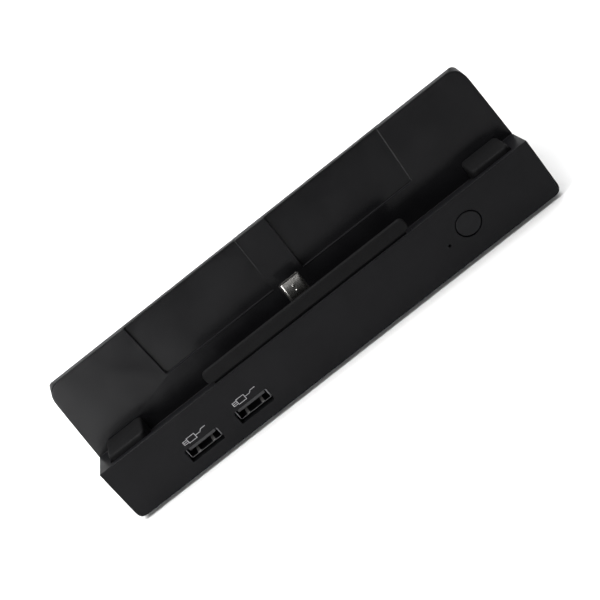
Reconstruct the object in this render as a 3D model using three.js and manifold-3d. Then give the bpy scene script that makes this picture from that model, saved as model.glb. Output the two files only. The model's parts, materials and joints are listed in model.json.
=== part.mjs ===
// A low docking station for a handheld game console, in millimetres.
// +X runs to the right of a person facing the dock, -Y is its front and +Z is up.
// The origin is at the middle of its footprint, on the surface that its feet stand on.
import * as THREE from "three";
import { mergeVertices } from "three/addons/utils/BufferGeometryUtils.js";
import Module from "manifold-3d";

const wasm = await Module();
wasm.setup();

// ---------- Driving dimensions ----------
const bodyWidth = 183.6; // across the ends at the foot of the body
const bodyDepth = 52; // front face to rear wall
const faceHeight = 24.3; // front face, from its foot to the lip
const rearHeight = 23; // rear wall, from its foot to the slope
const plateHeight = 30.8; // backrest plate, along its lean
const slotSpan = 17.5; // lip's front edge to the plate, square to the plate
const leanDegrees = 14; // backrest leans back by this
const draftDegrees = 2.5; // ends draw in towards the top by this
const footHeight = 1.5; // feet show below the body by this
const uprightCorner = 1.2; // round between the face and the ends
const footCorner = 3.5; // round where the ends meet the foot
const crestCorner = 6.5; // round at the ends of the backrest's top

// Walls and clearances
const wall = 2;
const frontWall = 2.2;
const floorWall = 1.6; // floor of the trough
const plateWall = 2.8;
const lipWidth = 3; // top of the front wall
const crestWidth = 4.4; // top of the backrest
const coverThickness = 2.4;
const gap = 0.3; // between pieces that touch

// Trough, pads and backrest pockets
const troughDepth = 3.6;
const endWallWidth = 5;
const frontPadLength = 85.4;
const frontPadThickness = 2.4;
const frontPadRise = 5.6; // above the lip
const frontPadReveal = 0.7; // shadow gap between the lip and the pad's overhang
const frontPadSeat = 1.2; // depth of the rebate that its tongue stands in
const frontPadTongue = 1.6; // thickness of that tongue
const restPadWidth = 15.2;
const restPadFrontRise = 2;
const restPadRearRise = 3.3;
const pocketDepth = 1.2;
const pocketFoot = 8.6; // height of the pockets' lower edge up the plate
const pocketHalfSpan = 53.9; // middle of the plate to a pocket's outer edge
const pocketSplay = 1; // outer edge moves out by this at the top
const ribWidth = 12.8; // between the two pockets

// Plug that enters the console
const plugWidth = 8.34;
const plugThickness = 2.5;
const plugTip = 10.4; // height of the tip above the top of the trough
const plugOffset = 7; // plug's middle to the plate
const plugWall = 0.35;
const plugFloor = 0.8; // closed foot of the plug's shell
const insulatorSetback = 0.8; // insulator's top below the plug's tip
const tongueSlotWidth = 6.4; // slot for the console's tongue
const tongueSlotThickness = 0.76;
const carrierWidth = 14;
const carrierThickness = 6;
const carrierTop = 2.4;
const carrierFoot = -11.5;
const plugBoardFoot = -12;
const pivotDepth = -8.6; // pin's axis below the top of the trough
const pinRadius = 0.8;
const pinLength = 24;
const rockDegrees = 3;

// Front sockets and their places across the face
const socketWidth = 13.4;
const socketHeight = 5;
const socketDepth = 14;
const socketWall = 0.4;
const socketRecess = 2; // face to the mouth of the shell
const socketHeightOnFace = 8; // middle above the foot of the face
const socketXs = [-57.5, -36];

// Button and indicator
const buttonX = 59.4;
const buttonHeightOnFace = 12.7;
const buttonHoleRadius = 4.95;
const buttonTravel = 0.6;
const indicatorX = 49.9;
const indicatorHeightOnFace = 10.3;
const pinholeRadius = 0.5;

// Rear ports
const videoPortX = 22;
const videoPortWidth = 15;
const videoPortHeight = 5.6;
const powerPortX = -22;
const powerPortWidth = 9;
const powerPortHeight = 3.3;
const rearPortDepth = 9;

// Boards, feet and screws
const boardThickness = 1.2;
const boardWidth = 150;
const boardFrontInset = 9; // front face to the board's front edge
const standoffRadius = 2.4;
const footRadius = 5;
const footInsetX = 27;
const footInsetY = 8.5;
const footRecess = 0.6;
const screwRadius = 1.1;
const screwHeadRadius = 2.3;
const screwHeadHeight = 1.2;
const screwLength = 7;
const coverScrewEndInset = 13.8; // end of the body to the outer screws' axes
const coverScrewInset = 6.6; // front face or rear wall to a screw's axis
const bossRadius = 3;
const boardScrewRadius = 0.9;
const boardScrewHeadRadius = 1.8;
const boardScrewLength = 3.4;

// ---------- Places worked out from them ----------
const lean = THREE.MathUtils.degToRad(leanDegrees);
const draft = Math.tan(THREE.MathUtils.degToRad(draftDegrees));
const frontY = -bodyDepth / 2;
const rearY = bodyDepth / 2;
const lipZ = footHeight + faceHeight;
const rearTopZ = footHeight + rearHeight;
const coverTopZ = footHeight + coverThickness;
const coverScrewXs = [-1, 0, 1].map((side) => side * (bodyWidth / 2 - coverScrewEndInset));
const socketZ = footHeight + socketHeightOnFace;
const boardTopZ = socketZ - socketHeight / 2 - 2 * gap; // the front sockets stand over the board
const boardZ = boardTopZ - boardThickness;
const standoffTopZ = boardZ - gap;
const buttonZ = footHeight + buttonHeightOnFace;
const indicatorZ = footHeight + indicatorHeightOnFace;
const plugSpan = slotSpan - plugOffset; // lip's front edge to the plug's middle
const ceiling = -troughDepth - floorWall; // underside of the trough's floor
const troughHalf = halfWidthAt(lipZ) - endWallWidth;
const partingSpan = slotSpan + plateWall + wall; // seam between the front and rear shells
const far = 400; // longer than anything that a cutter has to clear

function halfWidthAt(z) {
  return bodyWidth / 2 - (z - footHeight) * draft;
}

// A place in the leaning frame, which starts at the lip: span runs back along the top of the
// trough, square to the plate, and rise runs up along the plate.
function leaning(span, rise) {
  return new THREE.Vector2(
    frontY + span * Math.cos(lean) + rise * Math.sin(lean),
    lipZ - span * Math.sin(lean) + rise * Math.cos(lean),
  );
}

// Height of the underside of the trough's floor, where y is.
function undersideZ(y) {
  const span = (y - frontY - ceiling * Math.sin(lean)) / Math.cos(lean);
  return leaning(span, ceiling).y;
}

const plateTop = leaning(slotSpan, plateHeight);
const crestBack = leaning(slotSpan + crestWidth, plateHeight);

// ---------- Solids ----------
function solid(geometry) {
  const plain = geometry.clone();
  plain.deleteAttribute("normal");
  plain.deleteAttribute("uv");
  const merged = mergeVertices(plain, 1e-4);
  return new wasm.Manifold(
    new wasm.Mesh({
      numProp: 3,
      vertProperties: new Float32Array(merged.attributes.position.array),
      triVerts: new Uint32Array(merged.index.array),
    }),
  );
}

function geometryOf(body) {
  const mesh = body.getMesh();
  const geometry = new THREE.BufferGeometry();
  geometry.setAttribute("position", new THREE.BufferAttribute(mesh.vertProperties, 3));
  geometry.setIndex(new THREE.BufferAttribute(mesh.triVerts, 1));
  geometry.computeVertexNormals();
  return geometry;
}

function cutAll(body, cutters) {
  return cutters.reduce((left, cutter) => left.subtract(cutter), body);
}

function joinAll(bodies) {
  return bodies.reduce((joined, body) => joined.add(body));
}

const leanMatrix = new THREE.Matrix4()
  .makeTranslation(0, frontY, lipZ)
  .multiply(new THREE.Matrix4().makeRotationX(-lean));

const alongX = new THREE.Matrix4().makeBasis(
  new THREE.Vector3(0, 1, 0),
  new THREE.Vector3(0, 0, 1),
  new THREE.Vector3(1, 0, 0),
);

const alongY = new THREE.Matrix4().makeBasis(
  new THREE.Vector3(1, 0, 0),
  new THREE.Vector3(0, 0, 1),
  new THREE.Vector3(0, -1, 0),
);

function prism(shape, depth, curveSegments = 4) {
  return new THREE.ExtrudeGeometry(shape, { depth, bevelEnabled: false, curveSegments });
}

// An outline in (y, z), drawn out along X from x0 to x1.
function prismX(shape, x0, x1, curveSegments) {
  return prism(shape, x1 - x0, curveSegments).applyMatrix4(alongX).translate(x0, 0, 0);
}

// An outline in (x, z), drawn out along Y from y0 to y1.
function prismY(shape, y0, y1, curveSegments) {
  return prism(shape, y1 - y0, curveSegments).applyMatrix4(alongY).translate(0, y1, 0);
}

// An outline in (x, y), drawn out along Z from z0 to z1.
function prismZ(shape, z0, z1, curveSegments) {
  return prism(shape, z1 - z0, curveSegments).translate(0, 0, z0);
}

function block(x0, x1, y0, y1, z0, z1) {
  return new THREE.BoxGeometry(x1 - x0, y1 - y0, z1 - z0).translate(
    (x0 + x1) / 2,
    (y0 + y1) / 2,
    (z0 + z1) / 2,
  );
}

// A block given in the leaning frame.
function leaningBlock(x0, x1, span0, span1, rise0, rise1) {
  return block(x0, x1, span0, span1, rise0, rise1).applyMatrix4(leanMatrix);
}

// A rod along Z, Y or X, given by its two ends.
function rodZ(radius, x, y, z0, z1, sides = 20) {
  return new THREE.CylinderGeometry(radius, radius, z1 - z0, sides)
    .rotateX(Math.PI / 2)
    .translate(x, y, (z0 + z1) / 2);
}

function rodY(radius, x, z, y0, y1, sides = 20) {
  return new THREE.CylinderGeometry(radius, radius, y1 - y0, sides).translate(x, (y0 + y1) / 2, z);
}

function rodX(radius, y, z, x0, x1, sides = 20) {
  return new THREE.CylinderGeometry(radius, radius, x1 - x0, sides)
    .rotateZ(Math.PI / 2)
    .translate((x0 + x1) / 2, y, z);
}

function polygon(points) {
  return new THREE.Shape(points.map((point) => new THREE.Vector2(point.x, point.y)));
}

// A rectangle about (x, y) with round corners.
function roundedRectangle(width, height, radius, x = 0, y = 0) {
  const right = x + width / 2;
  const left = x - width / 2;
  const top = y + height / 2;
  const foot = y - height / 2;
  const shape = new THREE.Shape();
  shape.moveTo(left + radius, foot);
  shape.lineTo(right - radius, foot);
  shape.absarc(right - radius, foot + radius, radius, -Math.PI / 2, 0);
  shape.lineTo(right, top - radius);
  shape.absarc(right - radius, top - radius, radius, 0, Math.PI / 2);
  shape.lineTo(left + radius, top);
  shape.absarc(left + radius, top - radius, radius, Math.PI / 2, Math.PI);
  shape.lineTo(left, foot + radius);
  shape.absarc(left + radius, foot + radius, radius, Math.PI, Math.PI * 1.5);
  return shape;
}

// ---------- Shells ----------
const sideProfile = [
  new THREE.Vector2(frontY, footHeight),
  new THREE.Vector2(rearY, footHeight),
  new THREE.Vector2(rearY, rearTopZ),
  crestBack,
  plateTop,
  leaning(slotSpan, 0),
  new THREE.Vector2(frontY, lipZ),
];

// The front view, drawn in by inset, with round corners that the same inset makes tighter.
function frontOutline(inset) {
  const low = footCorner - inset;
  const high = crestCorner - inset;
  const foot = footHeight;
  const top = plateTop.y - inset;
  const halfFoot = halfWidthAt(foot) - inset;
  const halfTop = halfWidthAt(top) - inset;
  const shape = new THREE.Shape();
  shape.moveTo(-halfFoot + low, foot);
  shape.lineTo(halfFoot - low, foot);
  shape.quadraticCurveTo(halfFoot, foot, halfFoot - low * draft, foot + low);
  shape.lineTo(halfTop + high * draft, top - high);
  shape.quadraticCurveTo(halfTop, top, halfTop - high, top);
  shape.lineTo(-halfTop + high, top);
  shape.quadraticCurveTo(-halfTop, top, -halfTop - high * draft, top - high);
  shape.lineTo(-halfFoot + low * draft, foot + low);
  shape.quadraticCurveTo(-halfFoot, foot, -halfFoot + low, foot);
  return shape;
}

// The shape of the body seen from above, drawn in by inset.
function planOutline(inset) {
  const width = bodyWidth - 2 * inset;
  return roundedRectangle(width, bodyDepth - 2 * inset, uprightCorner - inset / 2);
}

function outerBody() {
  const smoothness = 8; // flats in each round corner
  return solid(prismX(polygon(sideProfile), -bodyWidth, bodyWidth))
    .intersect(solid(prismY(frontOutline(0), frontY - 1, rearY + 1, smoothness)))
    .intersect(solid(prismZ(planOutline(0), 0, far, smoothness)));
}

// Where the line through a and b crosses the line through c and d.
function crossing(a, b, c, d) {
  const alongAB = b.clone().sub(a);
  const alongCD = d.clone().sub(c);
  const share = c.clone().sub(a).cross(alongCD) / alongAB.cross(alongCD);
  return a.clone().addScaledVector(alongAB, share);
}

// The hollow inside the shells: under the trough, behind the plate and below the rear slope.
function hollow() {
  const innerFrontY = frontY + frontWall;
  const innerRearY = rearY - wall;
  const rearTop = new THREE.Vector2(rearY, rearTopZ);
  const alongSlope = crestBack.clone().sub(rearTop).normalize();
  const inward = new THREE.Vector2(-alongSlope.y, alongSlope.x).multiplyScalar(wall);
  const slopeFoot = rearTop.clone().add(inward);
  const slopeTop = crestBack.clone().add(inward);
  const plateBackFoot = leaning(slotSpan + plateWall, ceiling);
  const plateBackTop = leaning(slotSpan + plateWall, plateHeight);
  const ceilingFront = leaning(0, ceiling);
  const down = new THREE.Vector2(innerFrontY, 0);
  const up = new THREE.Vector2(innerFrontY, far);
  const rearDown = new THREE.Vector2(innerRearY, 0);
  const rearUp = new THREE.Vector2(innerRearY, far);
  const outline = [
    new THREE.Vector2(innerFrontY, 0),
    new THREE.Vector2(innerRearY, 0),
    crossing(rearDown, rearUp, slopeFoot, slopeTop),
    crossing(slopeFoot, slopeTop, plateBackFoot, plateBackTop),
    plateBackFoot,
    crossing(ceilingFront, plateBackFoot, down, up),
  ];
  return solid(prismX(polygon(outline), -bodyWidth, bodyWidth))
    .intersect(solid(prismY(frontOutline(wall), frontY - 1, rearY + 1)).add(openFoot()))
    .intersect(solid(prismZ(planOutline(wall), -far, far)));
}

// The hollow is open below, where the bottom cover closes it.
function openFoot() {
  const half = halfWidthAt(footHeight) - wall;
  return solid(block(-half, half, frontY, rearY, -1, coverTopZ));
}

// Half of space in front of the seam (side -1) or behind it (side 1), clear of it by half a gap.
function seamSide(side) {
  const near = partingSpan + (side * gap) / 2;
  const away = partingSpan + side * far;
  return solid(leaningBlock(-far, far, Math.min(near, away), Math.max(near, away), -far, far));
}

function trough() {
  return solid(leaningBlock(-troughHalf, troughHalf, lipWidth, slotSpan, -troughDepth, far));
}

// A shallow recess in the plate, open at the top: side -1 is the left one, 1 the right one.
function pocket(side) {
  const inner = (side * ribWidth) / 2;
  const outerFoot = side * pocketHalfSpan;
  const topRise = plateHeight + 5;
  const splay = (pocketSplay * (topRise - pocketFoot)) / (plateHeight - pocketFoot);
  const outerTop = outerFoot + side * splay;
  const cornerRadius = 1.5;
  const shape = new THREE.Shape();
  shape.moveTo(inner, topRise);
  shape.lineTo(inner, pocketFoot);
  shape.lineTo(outerFoot - side * cornerRadius, pocketFoot);
  shape.quadraticCurveTo(outerFoot, pocketFoot, outerFoot, pocketFoot + cornerRadius);
  shape.lineTo(outerTop, topRise);
  const geometry = prismY(shape, slotSpan - 1, slotSpan + pocketDepth);
  return solid(geometry.applyMatrix4(leanMatrix));
}

// The rebate in the lip that the front pad's tongue stands in.
function frontPadRebate() {
  const half = frontPadLength / 2 + gap;
  const front = lipWidth - frontPadTongue - gap;
  return solid(leaningBlock(-half, half, front, lipWidth + 1, -frontPadSeat, far));
}

// The hole in the trough's floor that the plug's carrier passes through, with room to rock.
function carrierHole() {
  const sway = Math.abs(pivotDepth) * Math.tan(THREE.MathUtils.degToRad(rockDegrees));
  const halfWidth = carrierWidth / 2 + gap;
  const halfSpan = carrierThickness / 2 + gap + sway;
  return solid(
    leaningBlock(-halfWidth, halfWidth, plugSpan - halfSpan, plugSpan + halfSpan, ceiling - 1, 0),
  );
}

// Two ears under the trough that hold the carrier's pin.
function pinEars() {
  const thickness = 2;
  const inner = carrierWidth / 2 + 1.5;
  const halfSpan = 3.5;
  const foot = pivotDepth - 3;
  const intoCeiling = ceiling + 0.5;
  const [pinY, pinZ] = leaning(plugSpan, pivotDepth).toArray();
  const bore = solid(rodX(pinRadius + gap, pinY, pinZ, -far, far));
  const ears = [-1, 1].map((side) => {
    const [x0, x1] = ordered(side * inner, side * (inner + thickness));
    return solid(leaningBlock(x0, x1, plugSpan - halfSpan, plugSpan + halfSpan, foot, intoCeiling));
  });
  return joinAll(ears).subtract(bore);
}

function socketHole(x) {
  const outline = roundedRectangle(socketWidth + 2 * gap, socketHeight + 2 * gap, 0.6, x, socketZ);
  return solid(prismY(outline, frontY - 1, frontY + frontWall + 1));
}

// A boss for a cover screw, hollow for its thread; rise is the height of its top.
function screwBoss(x, y, rise) {
  return solid(rodZ(bossRadius, x, y, coverTopZ + gap, rise)).subtract(threadHole(x, y));
}

function threadHole(x, y) {
  const spare = 2; // room beyond the screw's end
  return solid(rodZ(screwRadius + gap, x, y, 0, footHeight + screwLength + spare));
}

const frontScrewY = frontY + coverScrewInset;
const rearScrewY = rearY - coverScrewInset;

function frontHousing() {
  const cutters = [
    trough(),
    pocket(-1),
    pocket(1),
    frontPadRebate(),
    carrierHole(),
    ...socketXs.map(socketHole),
    solid(rodY(buttonHoleRadius, buttonX, buttonZ, frontY - 1, buttonSkirtEndY + gap, 40)),
    solid(rodY(pinholeRadius, indicatorX, indicatorZ, frontY - 1, frontY + frontWall + 1, 12)),
  ];
  const shell = cutAll(outerBody().subtract(hollow()).intersect(seamSide(-1)), cutters);
  const bossTop = lipZ - troughDepth - floorWall - coverScrewInset * Math.sin(lean);
  const bosses = coverScrewXs.filter((x) => x !== 0).map((x) => screwBoss(x, frontScrewY, bossTop));
  return joinAll([shell, pinEars(), ...bosses]);
}

function rearPortHole(x, width, height) {
  const z = boardTopZ + gap + height / 2;
  const outline = roundedRectangle(width + 2 * gap, height + 2 * gap, 0.8, x, z);
  return solid(prismY(outline, rearY - wall - 1, rearY + 1));
}

function rearCover() {
  const cutters = [
    rearPortHole(videoPortX, videoPortWidth, videoPortHeight),
    rearPortHole(powerPortX, powerPortWidth, powerPortHeight),
  ];
  const shell = cutAll(outerBody().subtract(hollow()).intersect(seamSide(1)), cutters);
  const rise = footHeight + screwLength + 3.5;
  const webHalf = 0.8;
  const intoWall = rearY - wall + 0.2;
  const bosses = coverScrewXs.map((x) => {
    const web = solid(block(x - webHalf, x + webHalf, rearScrewY, intoWall, coverTopZ + gap, rise));
    return screwBoss(x, rearScrewY, rise).add(web.subtract(threadHole(x, rearScrewY)));
  });
  return joinAll([shell, ...bosses]);
}

const coverScrewPlaces = [
  ...coverScrewXs.filter((x) => x !== 0).map((x) => [x, frontScrewY]),
  ...coverScrewXs.map((x) => [x, rearScrewY]),
];

const footPlaces = {
  front_left: [-bodyWidth / 2 + footInsetX, frontY + footInsetY],
  front_right: [bodyWidth / 2 - footInsetX, frontY + footInsetY],
  rear_left: [-bodyWidth / 2 + footInsetX, rearY - footInsetY],
  rear_right: [bodyWidth / 2 - footInsetX, rearY - footInsetY],
};

const boardFrontY = frontY + boardFrontInset;
const boardRearY = rearY - wall - 1;
const boardScrewInset = 4;
const rearBoardScrewInset = 10; // clear of the rear bosses
const boardScrewPlaces = [-1, 1].flatMap((side) => {
  const x = side * (boardWidth / 2 - boardScrewInset);
  return [
    [x, boardFrontY + boardScrewInset],
    [x, boardRearY - rearBoardScrewInset],
  ];
});

function bottomCover() {
  const width = bodyWidth - 2 * (wall + gap);
  const depth = bodyDepth - frontWall - wall - 2 * gap;
  const y = (frontWall - wall) / 2;
  const plate = solid(prismZ(roundedRectangle(width, depth, 2, 0, y), footHeight, coverTopZ));
  const intoCover = coverTopZ - 0.5;
  const pilotFoot = footHeight + 0.8;
  const standoffs = boardScrewPlaces.map(([x, py]) =>
    solid(rodZ(standoffRadius, x, py, intoCover, standoffTopZ)),
  );
  const cutters = [
    ...Object.values(footPlaces).map(([x, py]) =>
      solid(rodZ(footRadius + gap, x, py, 0, footHeight + footRecess, 32)),
    ),
    ...coverScrewPlaces.map(([x, py]) => solid(rodZ(screwRadius + gap, x, py, 0, far))),
    ...coverScrewPlaces.map(([x, py]) =>
      solid(rodZ(screwHeadRadius + gap, x, py, 0, footHeight + screwHeadHeight + gap)),
    ),
    ...boardScrewPlaces.map(([x, py]) =>
      solid(rodZ(boardScrewRadius + gap, x, py, pilotFoot, far, 16)),
    ),
  ];
  return cutAll(joinAll([plate, ...standoffs]), cutters);
}

// ---------- Pads and feet ----------
// The front pad overhangs the lip, with a tongue below it that stands in the lip's rebate.
function frontPad() {
  const cornerRadius = 1.9;
  const front = lipWidth - frontPadThickness;
  const height = frontPadRise - frontPadReveal;
  const middle = (frontPadRise + frontPadReveal) / 2;
  const outline = roundedRectangle(frontPadLength, height, cornerRadius, 0, middle);
  const head = solid(prismY(outline, front, lipWidth, 6));
  const half = frontPadLength / 2 - cornerRadius;
  const foot = -frontPadSeat + gap;
  const tongue = solid(block(-half, half, lipWidth - frontPadTongue, lipWidth, foot, middle));
  return geometryOf(head.add(tongue)).applyMatrix4(leanMatrix);
}

function restPad(side) {
  const front = lipWidth + gap;
  const back = slotSpan - gap;
  const foot = -troughDepth + gap;
  const profile = new THREE.Shape();
  profile.moveTo(front, foot);
  profile.lineTo(back, foot);
  profile.lineTo(back, restPadRearRise);
  profile.lineTo(front, restPadFrontRise);
  const outer = troughHalf - gap;
  const cornerRadius = 2;
  const x = side * (outer - restPadWidth / 2);
  const plan = roundedRectangle(restPadWidth, back - front, cornerRadius, x, (front + back) / 2);
  const wedge = solid(prismX(profile, x - restPadWidth, x + restPadWidth));
  const rounded = wedge.intersect(solid(prismZ(plan, foot - 1, restPadRearRise + 1)));
  return geometryOf(rounded).applyMatrix4(leanMatrix);
}

function foot([x, y]) {
  return rodZ(footRadius, x, y, 0, footHeight + footRecess - gap, 32);
}

// ---------- Plug and its rocking carrier ----------
function plugOutline(width, thickness) {
  return roundedRectangle(width, thickness, thickness / 2 - 0.01, 0, plugSpan);
}

function plugShell() {
  const foot = carrierTop + gap;
  const outer = solid(prismZ(plugOutline(plugWidth, plugThickness), foot, plugTip, 6));
  const inner = plugOutline(plugWidth - 2 * plugWall, plugThickness - 2 * plugWall);
  const hollowed = outer.subtract(solid(prismZ(inner, foot + plugFloor, plugTip + 1, 6)));
  return geometryOf(hollowed).applyMatrix4(leanMatrix);
}

// The insulator is a frame inside the shell, with a slot that the console's tongue enters.
function plugInsulator() {
  const clearance = gap / 2;
  const margin = plugWall + clearance;
  const foot = carrierTop + gap + plugFloor + clearance;
  const slotFoot = foot + 0.9;
  const halfWidth = tongueSlotWidth / 2;
  const halfSpan = tongueSlotThickness / 2;
  const outline = plugOutline(plugWidth - 2 * margin, plugThickness - 2 * margin);
  const frame = solid(prismZ(outline, foot, plugTip - insulatorSetback, 6));
  const slot = solid(
    block(-halfWidth, halfWidth, plugSpan - halfSpan, plugSpan + halfSpan, slotFoot, plugTip),
  );
  return geometryOf(frame.subtract(slot)).applyMatrix4(leanMatrix);
}

function plugCarrier() {
  const cornerRadius = 2.6;
  const collar = roundedRectangle(carrierWidth, carrierThickness, cornerRadius, 0, plugSpan);
  const stem = solid(prismZ(collar, carrierFoot, carrierTop, 4));
  const bore = solid(rodX(pinRadius + gap, plugSpan, pivotDepth, -far, far));
  return geometryOf(stem.subtract(bore)).applyMatrix4(leanMatrix);
}

function carrierPin() {
  const [pinY, pinZ] = leaning(plugSpan, pivotDepth).toArray();
  return rodX(pinRadius, pinY, pinZ, -pinLength / 2, pinLength / 2, 16);
}

const plugBoardThickness = 0.8;

function plugBoard() {
  const front = plugSpan + carrierThickness / 2 + gap;
  const half = carrierWidth / 2 - 0.5;
  const top = carrierFoot + 5;
  return leaningBlock(-half, half, front, front + plugBoardThickness, plugBoardFoot, top);
}

// A leaf spring that keeps the carrier upright: side -1 is in front of it, 1 behind it and its board.
function centringSpring(side) {
  const leaf = 0.3;
  const half = 3;
  const toeLength = 2.2;
  const top = ceiling - gap;
  const board = side > 0 ? plugBoardThickness + gap : 0;
  const near = carrierThickness / 2 + gap + board;
  const shinSpans = ordered(plugSpan + side * near, plugSpan + side * (near + leaf));
  const toeSpans = ordered(plugSpan + side * near, plugSpan + side * (near + toeLength));
  const shin = solid(leaningBlock(-half, half, ...shinSpans, carrierFoot + 0.5, top));
  const toe = solid(leaningBlock(-half, half, ...toeSpans, top - leaf, top));
  return geometryOf(shin.add(toe));
}

function ordered(first, second) {
  return [first, second].sort((a, b) => a - b);
}

function ribbonCable() {
  const width = 8;
  const thickness = 0.3;
  const boardMiddle = plugSpan + carrierThickness / 2 + gap + plugBoardThickness / 2;
  const start = leaning(boardMiddle, plugBoardFoot - gap);
  const end = new THREE.Vector2(ribbonConnectorY - ribbonConnectorDepth / 2 - gap, boardTopZ + gap + 1);
  const path = new THREE.CubicBezierCurve3(
    new THREE.Vector3(0, start.x, start.y),
    new THREE.Vector3(0, start.x, start.y - 2),
    new THREE.Vector3(0, end.x - 3, end.y),
    new THREE.Vector3(0, end.x, end.y),
  );
  const strip = roundedRectangle(width, thickness, thickness / 3);
  return new THREE.ExtrudeGeometry(strip, { steps: 8, extrudePath: path, curveSegments: 1 });
}

// ---------- Front sockets, button and indicator ----------
// A rectangular metal shell, open at the mouth (side -1 faces front, 1 faces the rear).
function socketShell(x, z, width, height, depth, mouthY, side, radius) {
  const back = mouthY - side * depth;
  const [y0, y1] = [mouthY, back].sort((a, b) => a - b);
  const outer = solid(prismY(roundedRectangle(width, height, radius, x, z), y0, y1));
  const inside = roundedRectangle(
    width - 2 * socketWall,
    height - 2 * socketWall,
    Math.max(radius - socketWall, 0.2),
    x,
    z,
  );
  const [c0, c1] = [mouthY + side, back + side * socketWall].sort((a, b) => a - b);
  return outer.subtract(solid(prismY(inside, c0, c1)));
}

const socketMouthY = frontY + socketRecess;

// The two contact springs of a front socket are strips bent up from its floor.
function frontSocketShell(x) {
  const cornerRadius = 0.5;
  const springHalf = 0.9;
  const springOffset = 2.9; // middle of the socket to a spring
  const springRise = 0.6;
  const floorZ = socketZ - socketHeight / 2 + socketWall;
  const intoFloor = floorZ - 0.1;
  const outline = polygon([
    new THREE.Vector2(socketMouthY + 1, intoFloor),
    new THREE.Vector2(socketMouthY + 6.6, intoFloor),
    new THREE.Vector2(socketMouthY + 2.6, floorZ + springRise),
  ]);
  const springs = [-1, 1].map((side) => {
    const middle = x + side * springOffset;
    return solid(prismX(outline, middle - springHalf, middle + springHalf));
  });
  const shell = socketShell(
    x, socketZ, socketWidth, socketHeight, socketDepth, socketMouthY, -1, cornerRadius,
  );
  return geometryOf(joinAll([shell, ...springs]));
}

function frontSocketTongue(x) {
  const sideRoom = 0.6;
  const thickness = 1.8;
  const setback = 0.8; // mouth of the shell to the tongue's front
  const half = socketWidth / 2 - socketWall - sideRoom;
  const top = socketZ + socketHeight / 2 - socketWall - gap;
  const back = socketMouthY + socketDepth - socketWall - gap;
  return block(x - half, x + half, socketMouthY + setback, back, top - thickness, top);
}

const buttonFrontY = frontY + 0.1;
const buttonTabY = frontY + frontWall + gap;
const buttonSkirtEndY = buttonTabY + 1;
const stemEndY = frontY + 6.2;

// The button's face with its skirt, two retaining tabs and the stem that presses the switch.
function buttonCap() {
  const capRadius = buttonHoleRadius - gap;
  const stemRadius = 1.5;
  const half = capRadius + 1.6;
  const rise = 1.6;
  const face = rodY(capRadius, buttonX, buttonZ, buttonFrontY, buttonSkirtEndY, 40);
  const tabs = block(
    buttonX - half, buttonX + half, buttonTabY, buttonSkirtEndY, buttonZ - rise, buttonZ + rise,
  );
  const stem = rodY(stemRadius, buttonX, buttonZ, buttonTabY, stemEndY);
  return geometryOf(joinAll([face, tabs, stem].map(solid)));
}

const plungerRadius = 1.7;
const plungerShows = 1.6; // plunger in front of the switch
const plungerSeat = 0.8; // plunger inside the switch
const switchFrontY = stemEndY + gap + plungerShows;
const switchDepth = 3.4;

function switchPlunger() {
  return rodY(plungerRadius, buttonX, buttonZ, stemEndY + gap, switchFrontY + plungerSeat);
}

function switchBody() {
  const backY = switchFrontY + switchDepth;
  const half = undersideZ(backY) - gap - buttonZ;
  const wellEnd = switchFrontY + plungerSeat + buttonTravel + gap;
  const body = block(
    buttonX - half, buttonX + half, switchFrontY, backY, buttonZ - half, buttonZ + half,
  );
  const well = rodY(plungerRadius + gap, buttonX, buttonZ, switchFrontY - 1, wellEnd);
  return geometryOf(solid(body).subtract(solid(well)));
}

const frontBoardY = switchFrontY + switchDepth + gap;

function frontBoard() {
  const back = frontBoardY + 1;
  const left = indicatorX - 4;
  const right = buttonX + 6;
  return block(left, right, frontBoardY, back, boardTopZ + gap, undersideZ(back) - gap);
}

const lampThickness = 1.4;
const indicatorFrontY = frontBoardY - gap - lampThickness;

function indicatorLamp() {
  const half = 1.5;
  return block(
    indicatorX - half,
    indicatorX + half,
    indicatorFrontY,
    frontBoardY - gap,
    indicatorZ - half,
    indicatorZ + half,
  );
}

function lightPipe() {
  const rodRadius = 1.3;
  return rodY(rodRadius, indicatorX, indicatorZ, frontY + frontWall + gap, indicatorFrontY - gap, 16);
}

// ---------- Main board and what it carries ----------
function mainBoard() {
  const plate = solid(block(-boardWidth / 2, boardWidth / 2, boardFrontY, boardRearY, boardZ, boardTopZ));
  const holes = boardScrewPlaces.map(([x, y]) => solid(rodZ(boardScrewRadius + gap, x, y, 0, far, 16)));
  const bossHole = solid(rodZ(bossRadius + gap, 0, rearScrewY, 0, far));
  const notchHalf = bossRadius + gap;
  const notch = solid(block(-notchHalf, notchHalf, rearScrewY, rearY, 0, far));
  return geometryOf(cutAll(plate, [...holes, bossHole, notch]));
}

const rearPortMouthY = rearY - 0.4;

function rearPortShell(x, width, height, radius) {
  const z = boardTopZ + gap + height / 2;
  return geometryOf(socketShell(x, z, width, height, rearPortDepth, rearPortMouthY, 1, radius));
}

function rearPortTongue(x, width, height, sideRoom) {
  const z = boardTopZ + gap + height / 2;
  const half = width / 2 - socketWall - sideRoom;
  const halfHeight = 0.5;
  const setback = 1.2;
  const front = rearPortMouthY - rearPortDepth + socketWall + gap;
  return block(x - half, x + half, front, rearPortMouthY - setback, z - halfHeight, z + halfHeight);
}

// A packaged chip on the board; height includes its stand-off from the board.
function chip(x, y, width, depth, height) {
  const z0 = boardTopZ + gap;
  return block(x - width / 2, x + width / 2, y - depth / 2, y + depth / 2, z0, z0 + height);
}

function shieldCan(x, y, width, depth, height) {
  const sheet = 0.3;
  const z0 = boardTopZ + gap;
  const outer = solid(prismZ(roundedRectangle(width, depth, 0.8, x, y), z0, z0 + height));
  const inside = roundedRectangle(width - 2 * sheet, depth - 2 * sheet, 0.5, x, y);
  return geometryOf(outer.subtract(solid(prismZ(inside, z0 - 1, z0 + height - sheet))));
}

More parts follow.
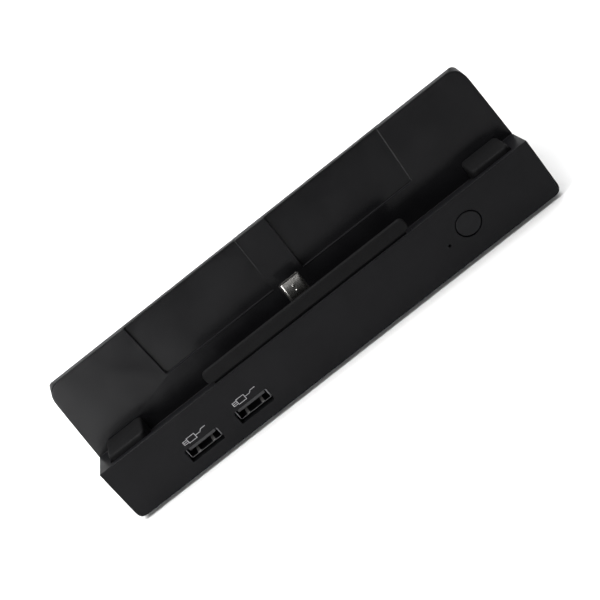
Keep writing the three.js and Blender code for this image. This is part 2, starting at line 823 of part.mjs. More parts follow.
function canCapacitor(x, y, radius, height) {
  return rodZ(radius, x, y, boardTopZ + gap, boardTopZ + gap + height, 20);
}

const ribbonConnectorY = frontY + 18;
const ribbonConnectorDepth = 4;
const boardMiddleY = (boardFrontY + boardRearY) / 2;
const rearRowY = rearPortMouthY - rearPortDepth - 9.6;
const chipRowY = rearRowY - 9;

// ---------- Screws ----------
function coverScrew([x, y]) {
  const headFoot = footHeight + gap;
  const headTop = headFoot + screwHeadHeight - gap;
  const head = solid(rodZ(screwHeadRadius, x, y, headFoot, headTop, 16));
  const shank = solid(rodZ(screwRadius, x, y, headTop - 0.2, footHeight + screwLength, 12));
  const armLength = 2.8;
  const armWidth = 0.6;
  const recessDepth = 0.6;
  const recess = [0, Math.PI / 2].map((turn) => {
    const arm = new THREE.BoxGeometry(armLength, armWidth, 2 * recessDepth);
    return solid(arm.rotateZ(turn).translate(x, y, headFoot));
  });
  return geometryOf(cutAll(head.add(shank), recess));
}

function boardScrew([x, y]) {
  const headFoot = boardTopZ + gap;
  const headHeight = 1;
  const intoHead = headFoot + 0.2;
  const armHalf = 1.1;
  const armHalfWidth = 0.25;
  const head = solid(rodZ(boardScrewHeadRadius, x, y, headFoot, headFoot + headHeight, 16));
  const shank = solid(rodZ(boardScrewRadius, x, y, intoHead - boardScrewLength, intoHead, 12));
  const recess = solid(
    block(x - armHalf, x + armHalf, y - armHalfWidth, y + armHalfWidth, headFoot + 0.5, headFoot + 2),
  );
  return geometryOf(head.add(shank).subtract(recess));
}

// ---------- Finishes ----------
function finish(color, roughness, metalness = 0) {
  return new THREE.MeshStandardMaterial({ color, roughness, metalness });
}

const blackPlastic = finish(0x1c1d20, 0.42);
const blackRubber = finish(0x202124, 0.85);
const footRubber = finish(0x18191b, 0.9);
const brightMetal = finish(0xc9ccd0, 0.28, 1);
const screwSteel = finish(0x3a3c40, 0.35, 1);
const springSteel = finish(0x9a9ea4, 0.35, 1);
const whiteTongue = finish(0xe4e4e0, 0.6);
const blackTongue = finish(0x141416, 0.55);
const boardGreen = finish(0x14532f, 0.5);
const chipBlack = finish(0x17181a, 0.55);
const lampResin = finish(0xdfe7d8, 0.3);
const clearPipe = finish(0xe8ecef, 0.15);
const ribbonTan = finish(0xb0742c, 0.45);

// ---------- Assembly ----------
const dock = new THREE.Group();

function add(name, geometry, material) {
  const mesh = new THREE.Mesh(geometry, material);
  mesh.name = name;
  dock.add(mesh);
}

add("front_housing", geometryOf(frontHousing()), blackPlastic);
add("rear_cover", geometryOf(rearCover()), blackPlastic);
add("bottom_cover", geometryOf(bottomCover()), blackPlastic);
add("front_pad", frontPad(), blackRubber);
add("rest_pad_left", restPad(-1), blackRubber);
add("rest_pad_right", restPad(1), blackRubber);

for (const [name, place] of Object.entries(footPlaces)) {
  add(`foot_${name}`, foot(place), footRubber);
}

coverScrewPlaces.forEach((place, index) => {
  add(`cover_screw_${index + 1}`, coverScrew(place), screwSteel);
});

add("plug_shell", plugShell(), brightMetal);
add("plug_insulator", plugInsulator(), blackTongue);
add("plug_carrier", plugCarrier(), blackPlastic);
add("plug_board", plugBoard(), boardGreen);
add("carrier_pin", carrierPin(), springSteel);
add("centring_spring_front", centringSpring(-1), springSteel);
add("centring_spring_rear", centringSpring(1), springSteel);
add("ribbon_cable", ribbonCable(), ribbonTan);

socketXs.forEach((x, index) => {
  const side = index === 0 ? "left" : "right";
  add(`front_socket_${side}_shell`, frontSocketShell(x), brightMetal);
  add(`front_socket_${side}_tongue`, frontSocketTongue(x), blackTongue);
});

add("button_cap", buttonCap(), blackPlastic);
add("switch_plunger", switchPlunger(), blackTongue);
add("switch_body", switchBody(), chipBlack);
add("front_board", frontBoard(), boardGreen);
add("indicator_lamp", indicatorLamp(), lampResin);
add("light_pipe", lightPipe(), clearPipe);

add("main_board", mainBoard(), boardGreen);
add("video_port_shell", rearPortShell(videoPortX, videoPortWidth, videoPortHeight, 1), brightMetal);
add("video_port_tongue", rearPortTongue(videoPortX, videoPortWidth, videoPortHeight, 1.6), blackTongue);
add("power_port_shell", rearPortShell(powerPortX, powerPortWidth, powerPortHeight, 1.6), brightMetal);
add("power_port_tongue", rearPortTongue(powerPortX, powerPortWidth, powerPortHeight, 0.9), blackTongue);
add("ribbon_connector", chip(0, ribbonConnectorY, 10, ribbonConnectorDepth, 2), whiteTongue);
add("hub_chip", chip(-18, chipRowY, 8, 8, 0.9), chipBlack);
add("video_chip", chip(24, boardMiddleY, 10, 10, 0.9), chipBlack);
add("power_chip", chip(-16, rearRowY, 5, 5, 0.9), chipBlack);
add("power_inductor", chip(-28, rearRowY, 7, 7, 3), chipBlack);
add("crystal_can", chip(-26.5, chipRowY, 5, 3.2, 0.9), brightMetal);
add("video_shield", shieldCan(24, boardMiddleY, 16, 14, 2), brightMetal);
add("capacitor_left", canCapacitor(-38, rearRowY, 2.5, 5.4), springSteel);
add("capacitor_right", canCapacitor(-52, rearRowY, 2.5, 5.4), springSteel);

boardScrewPlaces.forEach((place, index) => {
  add(`board_screw_${index + 1}`, boardScrew(place), screwSteel);
});

export default dock;
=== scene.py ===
import json
import math

import bmesh
import bpy
from mathutils import Matrix, Vector


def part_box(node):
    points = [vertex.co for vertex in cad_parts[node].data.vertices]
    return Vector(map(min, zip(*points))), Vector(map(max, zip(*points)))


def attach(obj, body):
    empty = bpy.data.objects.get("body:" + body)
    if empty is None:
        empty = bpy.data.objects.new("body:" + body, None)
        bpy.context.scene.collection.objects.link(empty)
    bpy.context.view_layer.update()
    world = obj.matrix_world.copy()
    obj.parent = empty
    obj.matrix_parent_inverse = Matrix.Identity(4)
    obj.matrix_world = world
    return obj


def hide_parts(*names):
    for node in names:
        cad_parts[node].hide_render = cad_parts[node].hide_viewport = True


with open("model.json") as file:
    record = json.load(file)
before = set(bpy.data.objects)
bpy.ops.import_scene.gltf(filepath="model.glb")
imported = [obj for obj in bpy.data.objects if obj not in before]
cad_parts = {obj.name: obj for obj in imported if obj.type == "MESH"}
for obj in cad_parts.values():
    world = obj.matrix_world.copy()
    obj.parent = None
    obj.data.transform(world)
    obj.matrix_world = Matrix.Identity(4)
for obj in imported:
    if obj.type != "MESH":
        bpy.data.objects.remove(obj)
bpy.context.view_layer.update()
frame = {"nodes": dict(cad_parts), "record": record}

# ---------- Places taken from the frame ----------
MM = 0.001
TOUCH = 0.02 * MM  # two places closer than this are one

record = frame["record"]
body_of_node = {node: body for body, nodes in record["behaviour"]["bodies"].items() for node in nodes}
slot_of_node = {row["node"]: row["material_slot"] for row in record["subparts"]}

backrest = next(mount for mount in record["mounts"] if mount["name"] == "backrest_face")
lean = math.asin(backrest["axis"][2])  # the backrest leans back by this
front_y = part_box("front_housing")[0].y
housing_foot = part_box("front_housing")[0].z
lip_z = max(
    vertex.co.z for vertex in frame["nodes"]["front_housing"].data.vertices
    if abs(vertex.co.y - front_y) < TOUCH
)
LEAN_TO_ROW = Matrix.Translation((0, front_y, lip_z)) @ Matrix.Rotation(-lean, 4, "X")


def leaning(point):
    """The point in the leaning frame: x, span back from the lip, and rise up along the backrest."""
    return LEAN_TO_ROW.inverted() @ Vector(point)


slot_span = leaning(backrest["pos_m"]).y
plug_front_span = min(leaning(vertex.co).y for vertex in frame["nodes"]["plug_shell"].data.vertices)


# ---------- Camera ----------
def add_camera():
    """The camera stands in front of the dock, above it and a little to its right, and is rolled."""
    azimuth, elevation, roll = (math.radians(angle) for angle in (3.3, 30.4, 39.8))
    distance = 0.470
    lens = 84.4
    target = Vector((0.0, front_y, lip_z))
    ahead = Vector((
        -math.sin(azimuth) * math.cos(elevation),
        math.cos(azimuth) * math.cos(elevation),
        -math.sin(elevation),
    ))
    right = Vector((math.cos(azimuth), math.sin(azimuth), 0.0))
    up = right.cross(ahead)
    camera_right = right * math.cos(roll) - up * math.sin(roll)
    camera_up = right * math.sin(roll) + up * math.cos(roll)
    # The lip's middle stands right of and below the middle of the picture by these slopes.
    aside, below = 0.0077, 0.0069
    aim = (ahead - camera_right * aside + camera_up * below).normalized()
    camera_right = (camera_right - aim * camera_right.dot(aim)).normalized()
    camera_up = camera_right.cross(aim)
    turn = Matrix((camera_right, camera_up, -aim)).transposed()
    camera = bpy.data.objects.new("camera", bpy.data.cameras.new("camera"))
    camera.data.lens = lens
    camera.data.sensor_width = 36.0
    camera.data.clip_start = 0.01
    camera.matrix_world = Matrix.Translation(target - ahead * distance) @ turn.to_4x4()
    bpy.context.scene.collection.objects.link(camera)
    bpy.context.scene.camera = camera


# ---------- Node materials ----------
class Material:
    """A procedural material on the principled shader, with short calls for what the dock needs."""

    def __init__(self, name):
        self.material = bpy.data.materials.new(name)
        self.material.use_nodes = True
        self.nodes = self.material.node_tree.nodes
        self.links = self.material.node_tree.links
        self.shader = self.nodes["Principled BSDF"]
        self.place = self.nodes.new("ShaderNodeTexCoord").outputs["Object"]

    def set(self, **values):
        """Sets sockets of the shader, written with _ for a space."""
        for name, value in values.items():
            self.shader.inputs[name.replace("_", " ")].default_value = value
        return self

    def stretched(self, scale):
        """The object's own coordinates, scaled so that a pattern is drawn out along an axis."""
        mapping = self.nodes.new("ShaderNodeMapping")
        mapping.inputs["Scale"].default_value = scale
        self.links.new(self.place, mapping.inputs["Vector"])
        return mapping.outputs["Vector"]

    def noise(self, size, detail=2.0, place=None, distortion=0.0):
        """Noise whose blotches are about size metres across."""
        node = self.nodes.new("ShaderNodeTexNoise")
        node.inputs["Scale"].default_value = 1.0 / size
        node.inputs["Detail"].default_value = detail
        node.inputs["Distortion"].default_value = distortion
        self.links.new(place or self.place, node.inputs["Vector"])
        return node.outputs["Fac"]

    def cell_edges(self, size, place):
        """The distance to the nearest edge of cells that are about size metres across."""
        node = self.nodes.new("ShaderNodeTexVoronoi")
        node.feature = "DISTANCE_TO_EDGE"
        node.inputs["Scale"].default_value = 1.0 / size
        self.links.new(place, node.inputs["Vector"])
        return node.outputs["Distance"]

    def ramp(self, value, stops):
        """Colours by value, from pairs of a position and a colour."""
        node = self.nodes.new("ShaderNodeValToRGB")
        elements = node.color_ramp.elements
        while len(elements) < len(stops):
            elements.new(0.5)
        for element, (position, color) in zip(elements, stops):
            element.position = position
            element.color = (*color, 1.0)
        self.links.new(value, node.inputs["Fac"])
        return node.outputs["Color"]

    def span(self, value, low, high, start=0.3, stop=0.7):
        """value, remapped so that start gives low and stop gives high."""
        node = self.nodes.new("ShaderNodeMapRange")
        node.inputs["From Min"].default_value = start
        node.inputs["From Max"].default_value = stop
        node.inputs["To Min"].default_value = low
        node.inputs["To Max"].default_value = high
        self.links.new(value, node.inputs["Value"])
        return node.outputs["Result"]

    def mix(self, share, first, tone):
        """The colour first, turning to the fixed tone where share is 1."""
        node = self.nodes.new("ShaderNodeMix")
        node.data_type = "RGBA"
        first_color, second_color, mixed = node.inputs[6], node.inputs[7], node.outputs[2]
        self.links.new(share, node.inputs["Factor"])
        self.links.new(first, first_color)
        second_color.default_value = (*tone, 1.0)
        return mixed

    def color(self, output):
        self.links.new(output, self.shader.inputs["Base Color"])
        return self

    def roughness(self, output):
        self.links.new(output, self.shader.inputs["Roughness"])
        return self

    def bump(self, *layers):
        """Each layer is (height output, depth in metres)."""
        normal = None
        for height, depth in layers:
            node = self.nodes.new("ShaderNodeBump")
            node.inputs["Distance"].default_value = depth
            self.links.new(height, node.inputs["Height"])
            if normal:
                self.links.new(normal, node.inputs["Normal"])
            normal = node.outputs["Normal"]
        self.links.new(normal, self.shader.inputs["Normal"])
        return self


def shell_plastic(name="shell_plastic", level=0.08, smooth=0.34, rough=0.44, grain_depth=0.006):
    """Black moulded plastic with a fine spark-eroded grain and faint handling marks."""
    made = Material(name).set(IOR=1.46, Specular_IOR_Level=level)
    grain = made.noise(0.28 * MM, detail=3.0)
    smear = made.noise(14 * MM, detail=4.0, distortion=0.6)
    made.color(made.ramp(smear, [(0.3, (0.0056, 0.0056, 0.0063)), (0.7, (0.0072, 0.0072, 0.0080))]))
    made.roughness(made.span(smear, smooth, rough))
    return made.bump((grain, grain_depth * MM), (made.noise(1.6 * MM), 0.004 * MM)).material


def plate_plastic():
    """The same plastic on the face of the backrest, where the mould is polished smoother."""
    return shell_plastic("plate_plastic", level=0.4, smooth=0.21, rough=0.27, grain_depth=0.001)


def button_plastic():
    """The button's face: the same plastic, polished a little by fingers."""
    made = Material("button_plastic").set(IOR=1.46, Specular_IOR_Level=0.1)
    smear = made.noise(3 * MM, detail=4.0)
    made.color(made.ramp(smear, [(0.3, (0.0060, 0.0060, 0.0068)), (0.7, (0.0080, 0.0080, 0.0090))]))
    made.roughness(made.span(smear, 0.30, 0.40))
    return made.bump((made.noise(0.22 * MM, detail=3.0), 0.005 * MM)).material


def pad_rubber():
    """Firm black silicone rubber: matt, with a fine stipple and a little dust in it."""
    made = Material("pad_rubber").set(IOR=1.42, Specular_IOR_Level=0.12)
    dust = made.noise(0.5 * MM, detail=4.0)
    made.color(made.ramp(dust, [(0.35, (0.0040, 0.0040, 0.0043)), (0.75, (0.0056, 0.0056, 0.0060))]))
    made.roughness(made.span(made.noise(6 * MM), 0.58, 0.72))
    return made.bump((made.noise(0.2 * MM, detail=2.0), 0.010 * MM)).material


def foot_rubber():
    """Black rubber with grime from the table."""
    made = Material("foot_rubber").set(IOR=1.45, Sheen_Weight=0.1, Sheen_Roughness=0.7)
    grime = made.noise(1.2 * MM, detail=5.0)
    made.color(made.ramp(grime, [(0.35, (0.013, 0.013, 0.014)), (0.7, (0.026, 0.025, 0.025))]))
    made.roughness(made.span(grime, 0.75, 0.92))
    return made.bump((made.noise(0.35 * MM), 0.02 * MM)).material


def plated_metal(name, tone, roughness, drawn):
    """Nickel-plated sheet, with the fine lines of its drawing or rolling along the drawn axis."""
    made = Material(name).set(Metallic=1.0)
    lines = made.noise(0.14 * MM, detail=2.0, place=made.stretched(drawn))
    stain = made.noise(2.5 * MM, detail=3.0)
    dull = tuple(channel * 0.88 for channel in tone)
    made.color(made.ramp(stain, [(0.35, dull), (0.7, tone)]))
    made.roughness(made.span(lines, roughness - 0.03, roughness + 0.04))
    return made.bump((lines, 0.0006 * MM)).material


def screw_steel():
    """Blackened steel, worn bright in places."""
    made = Material("screw_steel").set(Metallic=1.0)
    wear = made.noise(0.4 * MM, detail=4.0)
    made.color(made.ramp(wear, [(0.45, (0.06, 0.06, 0.065)), (0.75, (0.22, 0.22, 0.23))]))
    made.roughness(made.span(wear, 0.28, 0.5))
    return made.bump((wear, 0.006 * MM)).material


def nylon(name, dark, light):
    """Glass-filled nylon: a matt tone with short pale fibres just under the surface."""
    made = Material(name).set(IOR=1.53)
    fibres = made.noise(0.18 * MM, detail=2.0, place=made.stretched((1.0, 3.0, 1.0)))
    made.color(made.ramp(fibres, [(0.4, dark), (0.72, light)]))
    made.roughness(made.span(fibres, 0.5, 0.66))
    return made.bump((fibres, 0.004 * MM)).material


def board_laminate():
    """Green solder mask with copper tracks that show through it as paler, raised lines."""
    made = Material("board_laminate").set(IOR=1.52, Coat_Weight=0.3, Coat_Roughness=0.15)
    weave = made.noise(0.6 * MM, detail=2.0)
    tracks = made.cell_edges(4.5 * MM, made.stretched((1.0, 2.2, 1.0)))
    line = made.ramp(tracks, [(0.03, (1.0, 1.0, 1.0)), (0.055, (0.0, 0.0, 0.0))])
    mask = made.ramp(weave, [(0.3, (0.004, 0.055, 0.022)), (0.7, (0.006, 0.075, 0.030))])
    made.color(made.mix(line, mask, (0.020, 0.170, 0.065)))
    made.roughness(made.span(weave, 0.28, 0.4))
    return made.bump((line, 0.03 * MM), (weave, 0.01 * MM)).material


def chip_resin():
    """Moulded epoxy with a fine sparkle of filler."""
    made = Material("chip_resin").set(IOR=1.55)
    filler = made.noise(0.12 * MM, detail=3.0)
    made.color(made.ramp(filler, [(0.4, (0.014, 0.014, 0.015)), (0.8, (0.034, 0.034, 0.036))]))
    made.roughness(made.span(filler, 0.5, 0.68))
    return made.bump((filler, 0.006 * MM)).material


def clear_plastic(name, tone, roughness):
    """Clear moulded plastic with faint flow marks."""
    made = Material(name).set(IOR=1.49, Transmission_Weight=0.7)
    flow = made.noise(0.8 * MM, detail=2.0)
    pale = tuple(min(1.0, channel * 1.12) for channel in tone)
    made.color(made.ramp(flow, [(0.3, tone), (0.7, pale)]))
    made.roughness(made.span(flow, roughness, roughness + 0.12))
    return made.bump((flow, 0.004 * MM)).material


def ribbon_film():
    """Amber film over parallel copper tracks, which run along the ribbon."""
    made = Material("ribbon_film").set(IOR=1.6, Coat_Weight=0.5, Coat_Roughness=0.1)
    tracks = made.noise(0.5 * MM, detail=0.0, place=made.stretched((1.0, 0.02, 0.02)))
    made.color(made.ramp(tracks, [(0.46, (0.42, 0.20, 0.05)), (0.54, (0.62, 0.33, 0.12))]))
    made.roughness(made.span(tracks, 0.22, 0.34))
    return made.bump((tracks, 0.02 * MM)).material


def print_ink():
    """Pale grey pad-printed ink, a little thin in places."""
    made = Material("print_ink").set(IOR=1.5)
    thin = made.noise(0.25 * MM, detail=3.0)
    made.color(made.ramp(thin, [(0.3, (0.24, 0.24, 0.25)), (0.6, (0.36, 0.36, 0.37))]))
    made.roughness(made.span(thin, 0.45, 0.6))
    return made.bump((thin, 0.004 * MM)).material


PLUG_NICKEL = (0.52, 0.51, 0.49)
# the socket shells' nickel, darkened far below the plug's to stand for the shade inside the sockets:
# painted shade
PAINTED_SHADE_NICKEL = (0.15, 0.15, 0.155)
SPRING_NICKEL = (0.55, 0.54, 0.53)
STEEL = (0.55, 0.55, 0.56)
ALONG_X = (0.1, 1.0, 1.0)  # the axis that a metal's fine lines run along
ALONG_Y = (1.0, 0.08, 1.0)
ALONG_Z = (1.0, 1.0, 0.1)
materials = {
    "shell_plastic": shell_plastic(),
    "plate_plastic": plate_plastic(),
    "button_plastic": button_plastic(),
    "pad_rubber": pad_rubber(),
    "foot_rubber": foot_rubber(),
    "plug_metal": plated_metal("plug_metal", PLUG_NICKEL, 0.27, ALONG_Z),
    # the socket shells take the darkened nickel, which is painted shade for the inside of the sockets
    "socket_metal": plated_metal("socket_metal", PAINTED_SHADE_NICKEL, 0.38, ALONG_Y),
    "contact_metal": plated_metal("contact_metal", SPRING_NICKEL, 0.46, ALONG_Y),
    "screw_steel": screw_steel(),
    "spring_steel": plated_metal("spring_steel", STEEL, 0.32, ALONG_X),
    "socket_plastic": nylon("socket_plastic", (0.60, 0.60, 0.57), (0.72, 0.72, 0.69)),
    "insulator_plastic": nylon("insulator_plastic", (0.010, 0.010, 0.011), (0.030, 0.030, 0.032)),
    "board_laminate": board_laminate(),
    "chip_resin": chip_resin(),
    "lamp_resin": clear_plastic("lamp_resin", (0.72, 0.78, 0.62), 0.18),
    "pipe_acrylic": clear_plastic("pipe_acrylic", (0.82, 0.85, 0.88), 0.06),
    "ribbon_film": ribbon_film(),
    "print_ink": print_ink(),
}


# ---------- Mesh work ----------
SHARP = math.radians(32)  # an edge that turns by more than this gets a round
CREASE = math.radians(40)  # shading runs smoothly across an edge that turns by less than this


def welded(node):
    """A node's solid as a bmesh whose flat faces are whole."""
    mesh = bmesh.new()
    mesh.from_mesh(frame["nodes"][node].data)
    same_place, flat = 0.002 * MM, math.radians(0.8)
    bmesh.ops.remove_doubles(mesh, verts=mesh.verts, dist=same_place)
    bmesh.ops.dissolve_limit(mesh, angle_limit=flat, verts=mesh.verts, edges=mesh.edges)
    return mesh


def sharp_edges(mesh):
    return [edge for edge in mesh.edges if edge.is_manifold and edge.calc_face_angle() > SHARP]


def round_off(mesh, edges, radius, segments):
    """Rounds the edges to about that radius."""
    bmesh.ops.bevel(
        mesh, geom=edges, offset=radius, offset_type="OFFSET", segments=segments,
        profile=0.5, affect="EDGES", clamp_overlap=False, loop_slide=True,
    )


def piece_from(mesh, name, material, body):
    """Turns the bmesh into a finished piece: smooth across its rounds, flat on its flats."""
    data = bpy.data.meshes.new(name)
    for face in mesh.faces:
        face.smooth = True
    for edge in mesh.edges:
        edge.smooth = not edge.is_manifold or edge.calc_face_angle() < CREASE
    mesh.to_mesh(data)
    mesh.free()
    data.materials.append(materials[material])
    piece = bpy.data.objects.new(name, data)
    bpy.context.scene.collection.objects.link(piece)
    even = piece.modifiers.new("even_normals", "WEIGHTED_NORMAL")
    even.keep_sharp = True
    even.weight = 80
    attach(piece, body)
    return piece


def refined(node, radius, segments=3, material=None, first=None, join=0.0):
    """Stands for a CAD node with the same solid, its edges rounded off as moulding or forming does.

    first is a function that rounds chosen edges of the mesh before the rest, and places of the
    finished mesh closer than join become one, which clears the small folds where rounds meet.
    """
    mesh = welded(node)
    if first:
        first(mesh)
    round_off(mesh, sharp_edges(mesh), radius, segments)
    if join:
        bmesh.ops.remove_doubles(mesh, verts=mesh.verts, dist=join)
    slot = slot_of_node[node]
    piece = piece_from(mesh, node + "_finished", material or slot, body_of_node[node])
    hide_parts(node)
    return piece


def close_rings(mesh, rings):
    """Joins each ring of corners to the next, and closes both ends."""
    for near, far in zip(rings, rings[1:]):
        for index in range(len(near)):
            after = (index + 1) % len(near)
            mesh.faces.new((near[index], near[after], far[after], far[index]))
    mesh.faces.new(rings[0][::-1])
    mesh.faces.new(rings[-1])
    bmesh.ops.recalc_face_normals(mesh, faces=mesh.faces)


# ---------- Housing ----------
ABOVE_TROUGH = 1 * MM  # what rises less than this over the lip belongs to the trough
POCKET_REACH = 58 * MM  # the pockets end nearer the middle than this
CREST_RISE = 30 * MM  # only the crest of the backrest rises more than this


def on_backrest(place):
    return place.y > slot_span - TOUCH and place.z > ABOVE_TROUGH


def outer_edges_of_housing(mesh):
    """The lip, the rim of the backrest and the edges of its two pockets have larger rounds."""
    lip_round, rim_round, pocket_round = 0.45 * MM, 0.5 * MM, 0.3 * MM
    segments = 3
    lip, rim, pockets = [], [], []
    for edge in sharp_edges(mesh):
        places = [leaning(vertex.co) for vertex in edge.verts]
        if all(abs(place.y) < TOUCH and abs(place.z) < TOUCH for place in places):
            lip.append(edge)
        elif all(abs(place.y - slot_span) < TOUCH and place.z > ABOVE_TROUGH for place in places):
            at_pocket = all(abs(place.x) < POCKET_REACH for place in places)
            at_crest = all(place.z > CREST_RISE for place in places)
            level = abs(places[0].z - places[1].z) < TOUCH
            inside = at_pocket and not (at_crest and level)
            (pockets if inside else rim).append(edge)
    round_off(mesh, lip, lip_round, segments)
    round_off(mesh, [edge for edge in rim if edge.is_valid], rim_round, segments)
    round_off(mesh, [edge for edge in pockets if edge.is_valid], pocket_round, segments)


def polish_backrest(housing):
    """Gives the face of the backrest and its pockets the smoother finish, but not their rounds."""
    facing = 0.93  # cosine of the most that a flat face may turn away
    data = housing.data
    data.materials.append(materials["plate_plastic"])
    smoother = len(data.materials) - 1
    ahead = LEAN_TO_ROW.to_3x3() @ Vector((0, -1, 0))
    for face in data.polygons:
        if on_backrest(leaning(face.center)) and face.normal.dot(ahead) > facing:
            face.material_index = smoother


def add_housing():
    polish_backrest(refined("front_housing", 0.2 * MM, first=outer_edges_of_housing))
    refined("rear_cover", 0.2 * MM, segments=2, join=0.06 * MM)
    refined("bottom_cover", 0.25 * MM, segments=2)


def add_pads_and_feet():
    refined("front_pad", 0.45 * MM)
    for side in ("left", "right"):
        refined("rest_pad_" + side, 0.9 * MM, segments=4)
    for node in frame["nodes"]:
        if node.startswith("foot_"):
            refined(node, 0.4 * MM)


# ---------- Plug, sockets and button ----------
def add_plug_detent(name, rise, radius):
    """A small round dome pressed out of the front of the plug's shell, with a flared foot."""
    sides = 24
    height, root = 0.22 * MM, 0.15 * MM
    # Pairs of a share of the radius and a way out of the shell's face.
    profile = [(0.8, -root), (1.0, 0.0), (0.82, 0.3 * height), (0.62, 0.75 * height), (0.3, height)]
    turns = [2 * math.pi * step / sides for step in range(sides)]
    mesh = bmesh.new()
    rings = []
    for share, out in profile:
        reach = share * radius
        corners = [(reach * math.cos(turn), -out, reach * math.sin(turn)) for turn in turns]
        rings.append([mesh.verts.new(corner) for corner in corners])
    close_rings(mesh, rings)
    place = LEAN_TO_ROW @ Vector((0, plug_front_span, rise))
    mesh.transform(Matrix.Translation(place) @ LEAN_TO_ROW.to_3x3().to_4x4())
    piece_from(mesh, "plug_detent_" + name, "plug_metal", "plug_unit")


def add_plug():
    refined("plug_shell", 0.12 * MM, segments=2)
    add_plug_detent("upper", rise=7.7 * MM, radius=0.6 * MM)
    add_plug_detent("lower", rise=5.8 * MM, radius=0.38 * MM)
    refined("plug_insulator", 0.06 * MM, segments=2)
    refined("plug_carrier", 0.5 * MM)
    refined("plug_board", 0.05 * MM, segments=1)
    refined("carrier_pin", 0.2 * MM, segments=2)
    for side in ("front", "rear"):
        refined("centring_spring_" + side, 0.08 * MM, segments=2)
    refined("ribbon_cable", 0.05 * MM, segments=1)


def add_socket_springs(side):
    """The two leaf springs that rise from the floor of a front socket's shell."""
    low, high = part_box("front_socket_" + side + "_shell")
    middle = (low.x + high.x) / 2
    shell_wall, start, length, arch, thickness = 0.42 * MM, 0.15 * MM, 5 * MM, 1.1 * MM, 0.15 * MM
    root_half, narrowing = 0.6, 0.25
    from_middle = 3.2 * MM
    steps = 12
    for place, across in (("left", -from_middle), ("right", from_middle)):
        mesh = bmesh.new()
        rings = []
        for step in range(steps + 1):
            along = step / steps
            half = (root_half - narrowing * along) * MM
            y = low.y + start + length * along
            z = low.z + shell_wall + arch * math.sin(math.pi * along)
            corners = [(-half, z), (half, z), (half, z + thickness), (-half, z + thickness)]
            rings.append([mesh.verts.new((middle + across + x, y, up)) for x, up in corners])
        close_rings(mesh, rings)
        piece_from(mesh, "socket_spring_" + side + "_" + place, "contact_metal", "dock")


def add_sockets():
    for side in ("left", "right"):
        add_socket_springs(side)
    for node in frame["nodes"]:
        if node.endswith("_shell") and node != "plug_shell":
            refined(node, 0.1 * MM, segments=2)
        if node.endswith("_tongue"):
            refined(node, 0.15 * MM, segments=2)


def add_button():
    refined("button_cap", 0.5 * MM, segments=4, material="button_plastic")
    refined("switch_plunger", 0.2 * MM, segments=2)
    refined("switch_body", 0.15 * MM, segments=2)
    refined("indicator_lamp", 0.3 * MM)
    refined("light_pipe", 0.2 * MM)


def add_electronics():
    for node in ("main_board", "front_board"):
        refined(node, 0.06 * MM, segments=1)
    for node in ("ribbon_connector", "hub_chip", "video_chip", "power_chip", "crystal_can"):
        refined(node, 0.12 * MM, segments=2)
    refined("power_inductor", 0.8 * MM)
    refined("video_shield", 0.15 * MM, segments=2)
    for side in ("left", "right"):
        refined("capacitor_" + side, 0.35 * MM)
    for node in frame["nodes"]:
        if "_screw_" in node:
            refined(node, 0.12 * MM, segments=2)


# ---------- Printed marks ----------
def window(left, right, foot, top):
    """A rectangular opening, run the other way round from the outer line."""
    return [(left, foot), (left, top), (right, top), (right, foot)]


def mark_outlines():
    """A plain picture of a plug on its cord, in mm about its middle: the outer line, then its windows."""
    line = 0.2
    tip_left, tip_right, tip_half = -5.2, -3.4, 0.8
    body_right, body_half = 0.0, 1.2
    bend, top, end = 1.9, 0.8, 4.6
    half = line / 2
    slant = line * 0.41  # keeps the cord as thick on its slope as on its flats
    lower_side = [(body_right, -half), (bend + slant / 2, -half), (bend + top + slant / 2, top - half)]
    upper_side = [(bend + top - slant / 2, top + half), (bend - slant / 2, half), (body_right, half)]
    outer = [
        (tip_left, -tip_half), (tip_right, -tip_half), (tip_right, -body_half), (body_right, -body_half),
        *lower_side, (end, top - half), (end, top + half), *upper_side,
        (body_right, body_half), (tip_right, body_half), (tip_right, tip_half), (tip_left, tip_half),
    ]
    body = window(tip_right + line, body_right - line, -body_half + line, body_half - line)
    upper = window(tip_left + line, tip_right, half, tip_half - line)
    lower = window(tip_left + line, tip_right, line - tip_half, -half)
    return [outer, body, upper, lower]


def add_socket_mark(name, x, z):
    """The printed mark over a socket, which stands out of the face by the ink's thickness."""
    ink, same_place = 0.03 * MM, 0.001 * MM
    curve = bpy.data.curves.new(name, "CURVE")
    curve.dimensions = "2D"
    curve.fill_mode = "BOTH"
    curve.extrude = ink
    for outline in mark_outlines():
        spline = curve.splines.new("POLY")
        spline.points.add(len(outline) - 1)
        spline.use_cyclic_u = True
        for point, (across, up) in zip(spline.points, outline):
            point.co = (across * MM, up * MM, 0.0, 1.0)
    holder = bpy.data.objects.new(name + "_outline", curve)
    filled = bpy.data.meshes.new_from_object(holder)
    bpy.data.objects.remove(holder)
    mesh = bmesh.new()
    mesh.from_mesh(filled)
    bmesh.ops.remove_doubles(mesh, verts=mesh.verts, dist=same_place)
    mesh.transform(Matrix.Translation((x, front_y, z)) @ Matrix.Rotation(math.radians(90), 4, "X"))
    piece_from(mesh, name, "print_ink", "dock")


def add_marks():
    mark_height = 13.5 * MM  # middle of the marks above the foot of the face
    for side in ("left", "right"):
        low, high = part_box("front_socket_" + side + "_shell")
        add_socket_mark("socket_mark_" + side, (low.x + high.x) / 2, housing_foot + mark_height)


# ---------- Stage ----------
def add_stage():
    """A plain sheet of white paper under the dock."""
    half_width = 3.0
    mesh = bmesh.new()
    bmesh.ops.create_grid(mesh, x_segments=1, y_segments=1, size=half_width)
    data = bpy.data.meshes.new("floor")
    mesh.to_mesh(data)
    mesh.free()
    floor = bpy.data.objects.new("floor", data)
    bpy.context.scene.collection.objects.link(floor)
    paper = Material("floor_paper").set(Roughness=0.9, Specular_IOR_Level=0.1)
    paper.color(paper.ramp(paper.noise(0.4), [(0.3, (0.86, 0.86, 0.86)), (0.7, (0.89, 0.89, 0.89))]))
    data.materials.append(paper.material)


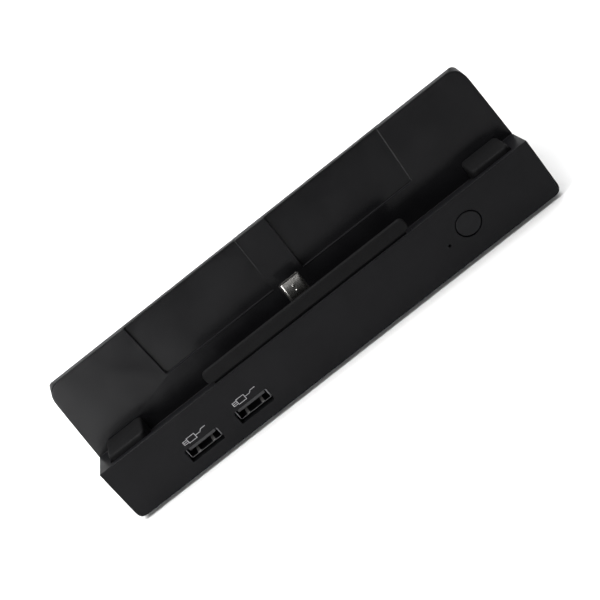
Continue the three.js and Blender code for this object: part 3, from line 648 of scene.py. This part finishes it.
def add_light(name, place, target, size, power, spread):
    """A white softbox at place, turned to target: sizes in metres, power in watts, spread in degrees."""
    light = bpy.data.lights.new(name, "AREA")
    light.spread = math.radians(spread)
    light.shape = "RECTANGLE"
    light.size, light.size_y = size
    light.energy = power
    holder = bpy.data.objects.new(name, light)
    aim = Vector(target) - Vector(place)
    holder.matrix_world = Matrix.Translation(place) @ aim.to_track_quat("-Z", "Y").to_matrix().to_4x4()
    bpy.context.scene.collection.objects.link(holder)


def add_surround():
    """The even light from all round: dim in front of the dock and pale behind it."""
    front_strength, back_strength = 0.07, 0.8
    dim_until, pale_from = -0.1, 0.6  # Y of the direction that is looked in
    world = bpy.data.worlds.new("studio")
    bpy.context.scene.world = world
    world.use_nodes = True
    nodes, links = world.node_tree.nodes, world.node_tree.links
    surround = nodes["Background"]
    surround.inputs["Color"].default_value = (1.0, 1.0, 1.0, 1.0)
    direction = nodes.new("ShaderNodeTexCoord")
    split = nodes.new("ShaderNodeSeparateXYZ")
    strength = nodes.new("ShaderNodeMapRange")
    strength.inputs["From Min"].default_value = dim_until
    strength.inputs["From Max"].default_value = pale_from
    strength.inputs["To Min"].default_value = front_strength
    strength.inputs["To Max"].default_value = back_strength
    links.new(direction.outputs["Generated"], split.inputs["Vector"])
    links.new(split.outputs["Y"], strength.inputs["Value"])
    links.new(strength.outputs["Result"], surround.inputs["Strength"])


def add_lights():
    """Soft light from above, from the left and over the floor behind, and the surround.

    The standard view keeps the paper white.
    """
    add_light("top_softbox", (0.08, 0.36, 0.9), (0.08, 0.36, 0), (1.3, 1.3), 7.2, 84)
    add_light("left_softbox", (-0.42, -0.57, 0.12), (-0.05, 0, 0.035), (0.3, 0.3), 1.1, 120)
    add_light("left_downlight", (-0.3, -0.08, 0.45), (-0.22, -0.06, 0), (0.3, 0.3), 0.7, 100)
    add_light("back_softbox", (0, 1.7, 1.1), (0, 1.9, 0), (3.0, 1.6), 40, 120)
    add_surround()
    bpy.context.scene.view_settings.view_transform = "Standard"


add_camera()
add_stage()
add_lights()
add_housing()
add_pads_and_feet()
add_plug()
add_sockets()
add_button()
add_electronics()
add_marks()
